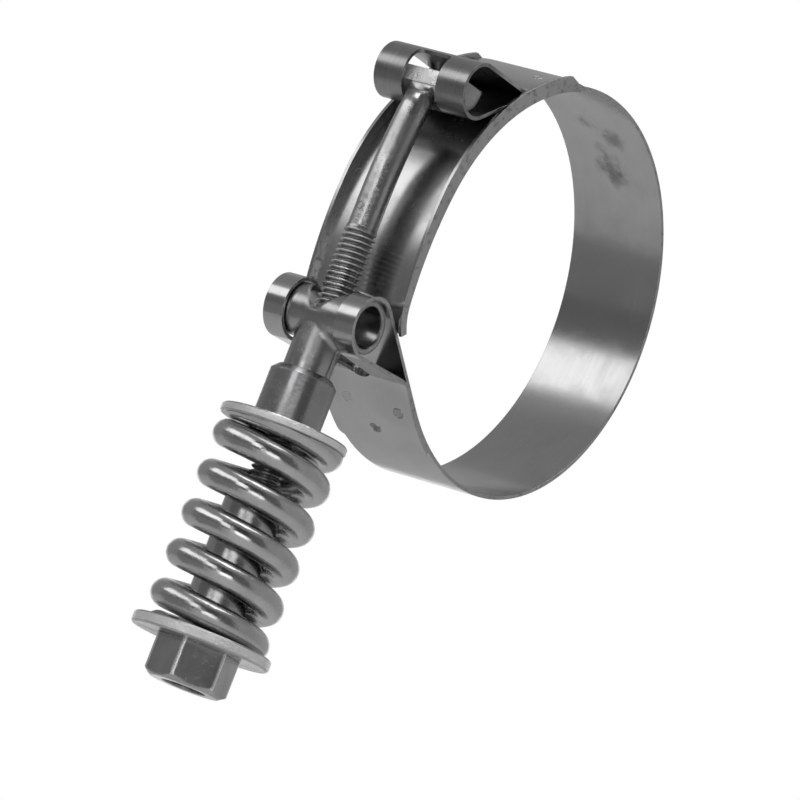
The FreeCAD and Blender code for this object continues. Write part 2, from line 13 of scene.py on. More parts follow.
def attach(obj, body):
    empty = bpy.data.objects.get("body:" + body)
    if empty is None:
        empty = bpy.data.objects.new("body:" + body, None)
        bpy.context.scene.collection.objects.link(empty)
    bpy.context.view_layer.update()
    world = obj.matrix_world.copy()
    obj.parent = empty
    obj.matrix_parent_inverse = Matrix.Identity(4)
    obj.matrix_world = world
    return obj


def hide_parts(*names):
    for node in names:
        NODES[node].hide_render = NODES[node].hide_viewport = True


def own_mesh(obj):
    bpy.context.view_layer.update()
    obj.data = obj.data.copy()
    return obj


MM = 0.001

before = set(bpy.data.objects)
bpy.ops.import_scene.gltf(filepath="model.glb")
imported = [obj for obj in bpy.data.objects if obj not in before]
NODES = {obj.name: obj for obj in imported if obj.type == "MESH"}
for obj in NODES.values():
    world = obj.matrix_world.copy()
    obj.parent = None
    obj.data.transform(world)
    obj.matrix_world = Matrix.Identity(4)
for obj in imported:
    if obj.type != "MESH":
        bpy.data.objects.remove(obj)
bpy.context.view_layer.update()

# Sizes that the CAD model and the dressed pieces share

BOLT_X = -41.5 * MM
THREAD_RADIUS = 2.93 * MM
THREAD_PITCH = 1.0 * MM
THREAD_TOP = -4.7 * MM
THREAD_END = -86.4 * MM
SPRING_TOP = -42.1 * MM
SPRING_LOW = -78.4 * MM
SPRING_MEAN = 8.65 * MM
WIRE_RADIUS = 2.45 * MM

# Where the zones of the bolt's, the nut's and the strip's looks begin

HEAD_UNDERSIDE = 22.1 * MM
HEAD_FRONT = -40.70 * MM
HEAD_NEAR_END = -9.5 * MM
LOOP_SIDE = -30 * MM
LOOP_FOOT = 15 * MM
INSIDE_LIMIT = 36.2 * MM
THREAD_CREST = 2.8 * MM
THREAD_ROOT = 2.45 * MM
HEXAGON_EDGE = 7.14 * MM


# Node helpers

def math_node(tree, operation, a, b=None, c=None):
    """A Math node; each term is a number or a socket."""
    node = tree.nodes.new("ShaderNodeMath")
    node.operation = operation
    for socket, term in zip(node.inputs, (a, b, c)):
        if term is None:
            continue
        if isinstance(term, (int, float)):
            socket.default_value = term
        else:
            tree.links.new(term, socket)
    return node.outputs[0]


def vector_node(tree, operation, a, b=None, result="Vector"):
    """A Vector Math node; each term is a vector or a socket."""
    node = tree.nodes.new("ShaderNodeVectorMath")
    node.operation = operation
    for socket, term in zip(node.inputs, (a, b)):
        if term is None:
            continue
        if isinstance(term, bpy.types.NodeSocket):
            tree.links.new(term, socket)
        else:
            socket.default_value = term
    return node.outputs[result]


def ramp_between(tree, value, low, high, out_low=0.0, out_high=1.0):
    """A smooth step of a value between two limits."""
    node = tree.nodes.new("ShaderNodeMapRange")
    node.interpolation_type = "SMOOTHSTEP"
    tree.links.new(value, node.inputs["Value"])
    for name, number in (("From Min", low), ("From Max", high), ("To Min", out_low), ("To Max", out_high)):
        if isinstance(number, bpy.types.NodeSocket):
            tree.links.new(number, node.inputs[name])
        else:
            node.inputs[name].default_value = number
    return node.outputs["Result"]


def mix_colours(tree, share, first, second):
    """Mixes two colours by a share; the first may be a socket."""
    node = tree.nodes.new("ShaderNodeMix")
    node.data_type = "RGBA"
    tree.links.new(share, node.inputs["Factor"])
    if isinstance(first, bpy.types.NodeSocket):
        tree.links.new(first, node.inputs["A"])
    else:
        node.inputs["A"].default_value = (*first, 1)
    node.inputs["B"].default_value = (*second, 1)
    return node.outputs["Result"]


def noise(tree, place, scale, detail=3.0, rough=0.5):
    """A noise texture's value, about 0.5."""
    node = tree.nodes.new("ShaderNodeTexNoise")
    node.inputs["Scale"].default_value = scale
    node.inputs["Detail"].default_value = detail
    node.inputs["Roughness"].default_value = rough
    tree.links.new(place, node.inputs["Vector"])
    return node.outputs["Fac"]


# Shader effects that several metals share

def new_effect(name, inputs, outputs):
    """An empty shader group with named inputs and outputs."""
    group = bpy.data.node_groups.new(name, "ShaderNodeTree")
    for label, kind, default in inputs:
        socket = group.interface.new_socket(label, in_out="INPUT", socket_type=kind)
        socket.default_value = default
    for label, kind in outputs:
        group.interface.new_socket(label, in_out="OUTPUT", socket_type=kind)
    return group, group.nodes.new("NodeGroupInput").outputs, group.nodes.new("NodeGroupOutput").inputs


def make_rolling_lines():
    """Fine lines that run along the metal, from rolling, drawing or turning."""
    group, given, out = new_effect(
        "rolling lines",
        [("Place", "NodeSocketVector", (0, 0, 0)), ("Stretch", "NodeSocketVector", (1, 1, 1))],
        [("Lines", "NodeSocketFloat")])
    place = vector_node(group, "MULTIPLY", given["Place"], given["Stretch"])
    fine = noise(group, place, 1.0, 4.0, 0.65)
    group.links.new(fine, out["Lines"])
    return group


def make_handling_marks():
    """Smudges, light scuffs and small pits from handling and tumbling."""
    group, given, out = new_effect(
        "handling marks",
        [("Place", "NodeSocketVector", (0, 0, 0)), ("Smudge Scale", "NodeSocketFloat", 120.0),
         ("Scuff Scale", "NodeSocketFloat", 900.0)],
        [("Smudge", "NodeSocketFloat"), ("Scuff", "NodeSocketFloat"), ("Pits", "NodeSocketFloat")])
    smudge = group.nodes.new("ShaderNodeTexNoise")
    smudge.inputs["Detail"].default_value = 4.0
    smudge.inputs["Distortion"].default_value = 0.6
    group.links.new(given["Place"], smudge.inputs["Vector"])
    group.links.new(given["Smudge Scale"], smudge.inputs["Scale"])
    group.links.new(ramp_between(group, smudge.outputs["Fac"], 0.35, 0.7), out["Smudge"])
    scuff = group.nodes.new("ShaderNodeTexNoise")
    scuff.inputs["Detail"].default_value = 6.0
    scuff.inputs["Roughness"].default_value = 0.7
    group.links.new(given["Place"], scuff.inputs["Vector"])
    group.links.new(given["Scuff Scale"], scuff.inputs["Scale"])
    group.links.new(ramp_between(group, scuff.outputs["Fac"], 0.52, 0.72), out["Scuff"])
    pits = group.nodes.new("ShaderNodeTexVoronoi")
    pits.inputs["Scale"].default_value = 1400.0
    group.links.new(given["Place"], pits.inputs["Vector"])
    group.links.new(ramp_between(group, pits.outputs["Distance"], 0.0, 0.3), out["Pits"])
    return group


def make_round_mark():
    """A blot and its rim about a point, such as a spot weld or a rubbed patch."""
    group, given, out = new_effect(
        "round mark",
        [("Place", "NodeSocketVector", (0, 0, 0)), ("Centre", "NodeSocketVector", (0, 0, 0)),
         ("Radius", "NodeSocketFloat", 1.0 * MM), ("Ragged", "NodeSocketFloat", 0.2),
         ("Core", "NodeSocketFloat", 0.75), ("Grain", "NodeSocketFloat", 1500.0)],
        [("Blot", "NodeSocketFloat"), ("Rim", "NodeSocketFloat")])
    away = vector_node(group, "DISTANCE", given["Place"], given["Centre"], "Value")
    ripple = noise(group, given["Place"], 1500.0, 3.0)
    group.links.new(given["Grain"], ripple.node.inputs["Scale"])
    ripple = math_node(group, "SUBTRACT", ripple, 0.5)
    share = math_node(group, "DIVIDE", away, given["Radius"])
    share = math_node(group, "MULTIPLY_ADD", ripple, given["Ragged"], share)
    group.links.new(ramp_between(group, share, 1.15, given["Core"]), out["Blot"])
    ring = math_node(group, "ABSOLUTE", math_node(group, "SUBTRACT", share, 0.95))
    group.links.new(ramp_between(group, ring, 0.22, 0.0), out["Rim"])
    return group


ROLLING_LINES = make_rolling_lines()
HANDLING_MARKS = make_handling_marks()
ROUND_MARK = make_round_mark()


def place_effect(tree, effect, **inputs):
    """Puts a shader group into a material; an underscore in a name stands for a space."""
    node = tree.nodes.new("ShaderNodeGroup")
    node.node_tree = effect
    for name, value in inputs.items():
        socket = node.inputs[name.replace("_", " ")]
        if isinstance(value, bpy.types.NodeSocket):
            tree.links.new(value, socket)
        else:
            socket.default_value = value
    return node.outputs


# What is left of the base colour in the darkest marks, and the most that marks may roughen
DARKEST = (0.12, 0.12, 0.115)
ROUGHEST = 0.85


class Metal:
    """A stainless steel material under construction: tone, roughness and relief."""

    def __init__(self, name, base, rough):
        self.material = bpy.data.materials.new(name)
        self.material.use_nodes = True
        self.tree = self.material.node_tree
        self.shader = self.tree.nodes["Principled BSDF"]
        self.shader.inputs["Metallic"].default_value = 1.0
        self.shader.inputs["Base Color"].default_value = (*base, 1)
        self.shader.inputs["Roughness"].default_value = rough
        self.place = self.tree.nodes.new("ShaderNodeTexCoord").outputs["Object"]
        self.base = base
        self.tone = None
        self.pale = None
        self.rough = rough
        self.relief = None

    def darken(self, mask, amount):
        """Darkens the base colour where the mask is 1, by a share of its value."""
        keep = math_node(self.tree, "MULTIPLY_ADD", mask, -amount, 1.0)
        self.tone = keep if self.tone is None else math_node(self.tree, "MULTIPLY", self.tone, keep)

    def brighten(self, mask, level):
        """Carries the base colour to a paler level where the mask is 1: a painted highlight."""
        self.pale = (mask, level)

    def roughen(self, mask, amount):
        """Adds to the roughness where the mask is 1."""
        self.rough = math_node(self.tree, "MULTIPLY_ADD", mask, amount, self.rough)

    def raise_by(self, height, amount):
        """Adds a height, in metres, to the relief."""
        step = math_node(self.tree, "MULTIPLY", height, amount)
        self.relief = step if self.relief is None else math_node(self.tree, "ADD", self.relief, step)

    def axes(self, vector=None):
        """The X, Y and Z of the place on the piece, or of another vector."""
        node = self.tree.nodes.new("ShaderNodeSeparateXYZ")
        self.tree.links.new(vector or self.place, node.inputs[0])
        return node.outputs

    def facing(self, axis):
        """How far the surface faces along an axis, either way: 0 to 1."""
        normal = self.tree.nodes.new("ShaderNodeNewGeometry").outputs["Normal"]
        return math_node(self.tree, "ABSOLUTE", self.axes(normal)[axis])

    def away_from(self, centre, plane):
        """The distance from an axis, which stands on the plane at the centre."""
        flat = vector_node(self.tree, "SUBTRACT", self.place, centre)
        flat = vector_node(self.tree, "MULTIPLY", flat, plane)
        return vector_node(self.tree, "LENGTH", flat, result="Value")

    def stretched_noise(self, stretch, detail=4.0, rough=0.7):
        """A noise value that is drawn out by another scale on each axis."""
        return noise(self.tree, vector_node(self.tree, "MULTIPLY", self.place, stretch), 1.0, detail, rough)

    def finish(self, edge):
        """Joins tone, roughness and relief to the shader, with the edges rounded by a radius."""
        tree = self.tree
        dark = [level * share for level, share in zip(self.base, DARKEST)]
        colour = mix_colours(tree, self.tone, dark, self.base)
        if self.pale is not None:
            mask, level = self.pale
            colour = mix_colours(tree, mask, colour, (level, level, level))
        tree.links.new(colour, self.shader.inputs["Base Color"])
        tree.links.new(math_node(tree, "MINIMUM", self.rough, ROUGHEST), self.shader.inputs["Roughness"])
        soft = tree.nodes.new("ShaderNodeBevel")
        soft.samples = 4
        soft.inputs["Radius"].default_value = edge
        bump = tree.nodes.new("ShaderNodeBump")
        bump.inputs["Strength"].default_value = 1.0
        bump.inputs["Distance"].default_value = 1.0
        tree.links.new(self.relief, bump.inputs["Height"])
        tree.links.new(soft.outputs["Normal"], bump.inputs["Normal"])
        tree.links.new(bump.outputs["Normal"], self.shader.inputs["Normal"])
        return self.material


def steel(name, base, rough, stretch, lines, smudge, scuff, pits=0.0, line_relief=0.002 * MM, dents=0.0):
    """Stainless steel with lines stretched along the metal, smudges and scuffs."""
    metal = Metal(name, base, rough)
    tree = metal.tree
    marks = place_effect(tree, HANDLING_MARKS, Place=metal.place)
    grain = place_effect(tree, ROLLING_LINES, Place=metal.place, Stretch=stretch)["Lines"]
    metal.darken(marks["Smudge"], smudge)
    metal.darken(grain, lines)
    metal.roughen(marks["Smudge"], smudge * 0.6)
    metal.roughen(marks["Scuff"], scuff)
    metal.raise_by(grain, line_relief)
    if pits:
        metal.raise_by(marks["Pits"], pits)
    if dents:
        metal.raise_by(noise(tree, metal.place, 520.0, 3.0, 0.6), dents)
    return metal


def ring_point(angle, y, radius):
    """A point on the ring, degrees from +X towards +Z, y and radius in millimetres."""
    a = math.radians(angle)
    return (radius * MM * math.cos(a), y * MM, radius * MM * math.sin(a))


# Marks on the strip: angles in degrees round the ring, lengths in millimetres

BAND_INSIDE = 35.75
TAIL_FACE = 37.05

SPOT_WELDS = (
    # angle, y, size, darkness, raggedness, height of the rim
    (-125.5, -6.5, 1.0, 0.3, 0.6, 0.2),
    (-117.5, 0, 0.9, 0.95, 2.2, 0.08),
    (-126.5, 4.5, 1.0, 0.06, 1.2, 0.05),
    (118, -5.5, 0.9, 0.15, 0.6, 0.08),
    (119, 5, 0.9, 0.3, 0.8, 0.08),
)
STAINS = (
    # angle, y, size, darkness
    (66, -2, 2.8, 0.5),
    (54, 0.4, 3.1, 0.5),
    (70.5, 2.8, 1.8, 0.4),
    (50, -0.8, 2.3, 0.45),
    (61, 1.6, 1.8, 0.2),
)

# Dents of the bolt, in millimetres

BOLT_DENTS = (
    # centre, size, height of the rim
    ((-44.2, 0.3, -1.4), 0.65, 0.22),
    ((-43.9, -1.4, 19.2), 0.6, 0.4),
)


# Materials

def shear_edges(metal):
    """Roughens and pits the strip's long edges, which were sheared and not polished."""
    tree = metal.tree
    edge = ramp_between(tree, metal.facing("Y"), 0.8, 0.95)
    torn = ramp_between(tree, noise(tree, metal.place, 900.0, 5.0, 0.7), 0.52, 0.66)
    torn = math_node(tree, "MULTIPLY", torn, edge)
    metal.darken(torn, 0.45)
    metal.roughen(edge, 0.12)
    metal.raise_by(torn, 0.06 * MM)


def make_band_steel():
    """Bright rolled strip with the spot welds, stains and scuffs of the photograph, and painted shade on
    the upper loop.
    """
    metal = steel("bright rolled strip", (0.53, 0.53, 0.535), 0.17, (60, 5200, 60), lines=0.22,
                  smudge=0.1, scuff=0.05, line_relief=0.0012 * MM)
    tree = metal.tree
    for angle, y, size, dark, ragged, rise in SPOT_WELDS:
        weld = place_effect(tree, ROUND_MARK, Place=metal.place, Centre=ring_point(angle, y, TAIL_FACE),
                            Radius=size * MM, Ragged=ragged, Core=0.4)
        metal.darken(weld["Blot"], dark * 0.8)
        metal.darken(weld["Rim"], dark * 0.6)
        metal.roughen(weld["Blot"], 0.15)
        metal.raise_by(weld["Rim"], rise * MM)
    radius = metal.away_from((0, 0, 0), (1, 0, 1))
    inside = ramp_between(tree, radius, INSIDE_LIMIT, INSIDE_LIMIT - 0.2 * MM)
    for angle, y, size, dark in STAINS:
        stain = place_effect(tree, ROUND_MARK, Place=metal.place, Centre=ring_point(angle, y, BAND_INSIDE),
                             Radius=size * MM, Ragged=1.8, Core=0.1, Grain=480.0)
        blot = math_node(tree, "MULTIPLY", stain["Blot"], inside)
        metal.darken(blot, dark)
        metal.roughen(blot, 0.1)
    x, _, z = metal.axes()
    # The upper loop is roughened, and painted darker with a mottle: painted shade where it catches less of
    # the lamps' light.
    upper_loop = math_node(tree, "MULTIPLY", ramp_between(tree, z, LOOP_FOOT, LOOP_FOOT + 5 * MM),
                           ramp_between(tree, x, LOOP_SIDE, LOOP_SIDE - 6 * MM))
    painted_light_mask = ramp_between(tree, metal.stretched_noise((300, 2400, 300)), 0.3, 0.75)
    metal.roughen(upper_loop, 0.1)
    metal.darken(upper_loop, 0.36)
    metal.darken(math_node(tree, "MULTIPLY", upper_loop, painted_light_mask), 0.2)
    shear_edges(metal)
    return metal.finish(0.1 * MM)


def make_bridge_steel():
    """The bridge's strip, bright and a little blurred, without marks of its own."""
    metal = steel("bright bridge strip", (0.55, 0.55, 0.555), 0.2, (60, 4800, 60), lines=0.22, smudge=0.12,
                  scuff=0.05, line_relief=0.0012 * MM)
    shear_edges(metal)
    return metal.finish(0.1 * MM)


def make_bolt_steel():
    """Forged and rolled steel: pressed head and dented shank, with painted shade in the thread's grooves
    and painted highlights on the crests, the pressed face and the head's near end.
    """
    metal = steel("forged bolt steel", (0.5, 0.5, 0.505), 0.24, (900, 900, 160), lines=0.2, smudge=0.2,
                  scuff=0.16, pits=0.012 * MM)
    tree = metal.tree
    x, y, z = metal.axes()
    pressed = math_node(tree, "MULTIPLY", ramp_between(tree, z, HEAD_UNDERSIDE, HEAD_UNDERSIDE + 0.1 * MM),
                        ramp_between(tree, x, HEAD_FRONT, HEAD_FRONT - 0.06 * MM))
    grain = noise(tree, metal.place, 1900.0, 4.0, 0.7)
    metal.raise_by(math_node(tree, "MULTIPLY", grain, pressed), 0.38 * MM)
    near_end = ramp_between(tree, y, HEAD_NEAR_END, HEAD_NEAR_END - 0.5 * MM)
    metal.raise_by(math_node(tree, "MULTIPLY", grain, near_end), 0.3 * MM)
    metal.raise_by(noise(tree, metal.place, 620.0, 3.0, 0.6), 0.07 * MM)
    for centre, size, rise in BOLT_DENTS:
        dent = place_effect(tree, ROUND_MARK, Place=metal.place, Centre=Vector(centre) * MM,
                            Radius=size * MM, Ragged=1.2)
        metal.raise_by(dent["Rim"], rise * MM)
    radius = metal.away_from((BOLT_X, 0, 0), (1, 1, 0))
    threaded = ramp_between(tree, z, THREAD_TOP + 0.2 * MM, THREAD_TOP - 0.2 * MM)
    # Painted shade: the thread's grooves are darkened as if shaded.
    groove = math_node(tree, "MULTIPLY", ramp_between(tree, radius, THREAD_CREST, THREAD_ROOT), threaded)
    metal.darken(groove, 0.5)
    # Painted highlight on the thread's crests.
    crest = ramp_between(tree, radius, THREAD_CREST, THREAD_CREST + 0.1 * MM)
    crest = math_node(tree, "MULTIPLY", crest, threaded)
    # Painted highlights: the pressed face, the head's near end and the crests are carried to near white.
    pale = math_node(tree, "MAXIMUM", pressed, near_end)
    pale = math_node(tree, "MAXIMUM", pale, math_node(tree, "MULTIPLY", crest, 0.6))
    metal.brighten(pale, 0.95)
    return metal.finish(0.25 * MM)


def make_nut_steel():
    """A turned and milled nut, with painted highlights along the hexagon's edges."""
    metal = steel("turned nut steel", (0.5, 0.5, 0.505), 0.16, (900, 900, 200), lines=0.18, smudge=0.16,
                  scuff=0.1, dents=0.02 * MM)
    tree = metal.tree
    radius = metal.away_from((BOLT_X, 0, 0), (1, 1, 0))
    # Painted highlight: a ragged pale band along the hexagon's edges.
    ripple = math_node(tree, "SUBTRACT", metal.stretched_noise((1800, 1800, 160)), 0.5)
    painted_light_mask = math_node(tree, "MULTIPLY_ADD", ripple, 0.6 * MM, radius)
    painted_light_mask = ramp_between(tree, painted_light_mask, HEXAGON_EDGE, HEXAGON_EDGE + 0.12 * MM)
    metal.brighten(painted_light_mask, 0.97)
    metal.roughen(painted_light_mask, 0.04)
    return metal.finish(0.6 * MM)


def make_washer_steel():
    """Tumbled washers, whose rims are rough and scratched, with a painted highlight on them."""
    metal = steel("tumbled washer steel", (0.58, 0.58, 0.585), 0.24, (900, 900, 900), lines=0.15,
                  smudge=0.2, scuff=0.16, pits=0.01 * MM, dents=0.05 * MM)
    tree = metal.tree
    rim = ramp_between(tree, metal.facing("Z"), 0.7, 0.3)
    scratches = metal.stretched_noise((900, 900, 2600), 5.0, 0.75)
    metal.raise_by(math_node(tree, "MULTIPLY", scratches, rim), 0.55 * MM)
    metal.roughen(rim, 0.04)
    # Painted highlight on the rims.
    metal.brighten(rim, 0.88)
    return metal.finish(0.45 * MM)


def make_plain_steel(name, base, rough, stretch, edge, **marks):
    """A steel with no marks of its own; the edge's rounding is in millimetres."""
    return steel(name, base, rough, stretch, **marks).finish(edge * MM)


BAND_STEEL = make_band_steel()
BRIDGE_STEEL = make_bridge_steel()
BOLT_STEEL = make_bolt_steel()
TRUNNION_STEEL = make_plain_steel("tumbled trunnion steel", (0.45, 0.45, 0.455), 0.19, (700, 700, 200),
                                  edge=0.7, lines=0.2, smudge=0.22, scuff=0.06, pits=0.002 * MM,
                                  dents=0.03 * MM)
COLLAR_STEEL = make_plain_steel("turned collar steel", (0.42, 0.42, 0.425), 0.2, (260, 260, 5200),
                                edge=0.35, lines=0.25, smudge=0.2, scuff=0.06, dents=0.02 * MM)
WASHER_STEEL = make_washer_steel()
NUT_STEEL = make_nut_steel()
WIRE_STEEL = make_plain_steel("drawn spring wire", (0.58, 0.58, 0.585), 0.17, (500, 500, 500),
                              edge=0.15, lines=0.16, smudge=0.14, scuff=0.1, dents=0.06 * MM)

NODE_STEELS = {
    "band": BAND_STEEL,
    "bridge": BRIDGE_STEEL,
    "t_bolt": BOLT_STEEL,
    "trunnion": TRUNNION_STEEL,
    "collar": COLLAR_STEEL,
    "upper_washer": WASHER_STEEL,
    "lower_washer": WASHER_STEEL,
    "sleeve_nut": NUT_STEEL,
    "spring": WIRE_STEEL,
}
for node, metal in NODE_STEELS.items():
    for slot in NODES[node].material_slots:
        slot.material = metal


# Geometry node helpers

def new_tree(name, inputs):
    """A geometry node tree with named number inputs, and the sockets that it is given."""
    tree = bpy.data.node_groups.new(name, "GeometryNodeTree")
    tree.interface.new_socket("Geometry", in_out="OUTPUT", socket_type="NodeSocketGeometry")
    for label, default in inputs:
        kind = "NodeSocketInt" if isinstance(default, int) else "NodeSocketFloat"
        socket = tree.interface.new_socket(label, in_out="INPUT", socket_type=kind)
        socket.default_value = default
    return tree, tree.nodes.new("NodeGroupInput").outputs, tree.nodes.new("NodeGroupOutput").inputs


def grown(name, tree):
    """Runs a tree on an empty mesh and keeps its result as the object's plain mesh."""
    maker = bpy.data.objects.new(name, bpy.data.meshes.new(name))
    bpy.context.scene.collection.objects.link(maker)
    modifier = maker.modifiers.new(name, "NODES")
    modifier.node_group = tree
    bpy.context.view_layer.update()
    evaluated = maker.evaluated_get(bpy.context.evaluated_depsgraph_get())
    mesh = bpy.data.meshes.new_from_object(evaluated)
    maker.modifiers.remove(modifier)
    maker.data = mesh
    mesh.name = name
    return maker


# The bolt's rolled thread: a ridge wound right-hand round the rod

def make_thread_tree():
    """A cylinder about the Z axis whose wall is pushed in along a helix, moved to the bolt."""
    tree, given, out = new_tree("rolled thread", [
        ("Outer Radius", THREAD_RADIUS), ("Depth", 0.58 * MM), ("Pitch", THREAD_PITCH),
        ("Length", THREAD_TOP - THREAD_END), ("Top", THREAD_TOP), ("Run Out", 1.2 * MM),
        ("Chamfer", 0.8 * MM), ("Shank Depth", 0.3 * MM), ("Crest Share", 0.06), ("Root Share", 0.40),
        ("Sides", 24), ("Rows", 660)])
    rod = tree.nodes.new("GeometryNodeMeshCylinder")
    rod.fill_type = "TRIANGLE_FAN"
    tree.links.new(given["Sides"], rod.inputs["Vertices"])
    tree.links.new(given["Rows"], rod.inputs["Side Segments"])
    rod.inputs["Radius"].default_value = 1.0
    tree.links.new(given["Length"], rod.inputs["Depth"])
    where = tree.nodes.new("GeometryNodeInputPosition").outputs[0]
    split = tree.nodes.new("ShaderNodeSeparateXYZ")
    tree.links.new(where, split.inputs[0])
    x, y, z = (split.outputs[i] for i in range(3))
    angle = math_node(tree, "ARCTAN2", y, x)
    turn = math_node(tree, "DIVIDE", angle, 2 * math.pi)
    phase = math_node(tree, "SUBTRACT", math_node(tree, "DIVIDE", z, given["Pitch"]), turn)
    groove = math_node(tree, "ABSOLUTE", math_node(
        tree, "SUBTRACT", math_node(tree, "FRACT", phase), 0.5))
    groove = ramp_between(tree, groove, given["Crest Share"], given["Root Share"])
    half = math_node(tree, "MULTIPLY", given["Length"], 0.5)
    from_top = math_node(tree, "SUBTRACT", half, z)
    from_end = math_node(tree, "ADD", half, z)
    fade = ramp_between(tree, from_top, 0.0, given["Run Out"])
    cut = math_node(tree, "MULTIPLY", math_node(tree, "MULTIPLY", groove, given["Depth"]), fade)
    bevel = math_node(tree, "MAXIMUM", math_node(tree, "SUBTRACT", given["Chamfer"], from_end), 0.0)
    shank = math_node(tree, "MULTIPLY", math_node(tree, "SUBTRACT", 1.0, fade), given["Shank Depth"])
    radius = math_node(tree, "SUBTRACT", given["Outer Radius"], math_node(tree, "MAXIMUM", cut, shank))
    radius = math_node(tree, "SUBTRACT", radius, bevel)
    wide = math_node(tree, "SQRT", math_node(tree, "ADD", math_node(tree, "MULTIPLY", x, x),
                                             math_node(tree, "MULTIPLY", y, y)))
    reach = math_node(tree, "MULTIPLY", radius, wide)
    join = tree.nodes.new("ShaderNodeCombineXYZ")
    tree.links.new(math_node(tree, "MULTIPLY", math_node(tree, "COSINE", angle), reach), join.inputs[0])
    tree.links.new(math_node(tree, "MULTIPLY", math_node(tree, "SINE", angle), reach), join.inputs[1])
    tree.links.new(z, join.inputs[2])
    shift = tree.nodes.new("ShaderNodeCombineXYZ")
    shift.inputs[0].default_value = BOLT_X
    tree.links.new(math_node(tree, "SUBTRACT", given["Top"], half), shift.inputs[2])
    move = tree.nodes.new("GeometryNodeSetPosition")
    tree.links.new(rod.outputs["Mesh"], move.inputs["Geometry"])
    tree.links.new(vector_node(tree, "ADD", join.outputs[0], shift.outputs[0]), move.inputs["Position"])
    real = tree.nodes.new("GeometryNodeRealizeInstances")
    tree.links.new(move.outputs[0], real.inputs[0])
    finish = tree.nodes.new("GeometryNodeSetMaterial")
    finish.inputs["Material"].default_value = BOLT_STEEL
    tree.links.new(real.outputs[0], finish.inputs[0])
    tree.links.new(finish.outputs[0], out[0])
    return tree


def make_shank_and_head(thread):
    """The bolt's plain shank and head, taken from the CAD node, joined to the wound thread."""
    mesh = bmesh.new()
    mesh.from_mesh(NODES["t_bolt"].data)
    bmesh.ops.remove_doubles(mesh, verts=mesh.verts, dist=0.002 * MM)
    low = [f for f in mesh.faces if f.calc_center_median().z < THREAD_TOP + 0.01 * MM]
    bmesh.ops.delete(mesh, geom=low, context="FACES")
    rim = [e for e in mesh.edges if e.is_boundary]
    bmesh.ops.holes_fill(mesh, edges=rim, sides=0)
    for face in mesh.faces:
        face.smooth = True
    bmesh.ops.recalc_face_normals(mesh, faces=mesh.faces)
    mesh.from_mesh(thread.data)
    for face in mesh.faces:
        face.smooth = True
    mesh.to_mesh(thread.data)
    mesh.free()
    thread.data.set_sharp_from_angle(angle=math.radians(38))


thread = grown("threaded_bolt", make_thread_tree())
make_shank_and_head(thread)
for i in range(len(thread.data.materials)):
    thread.data.materials[i] = BOLT_STEEL
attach(thread, "bolt")
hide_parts("t_bolt")


# The spring: a round wire wound left-hand, closed and ground flat at both ends

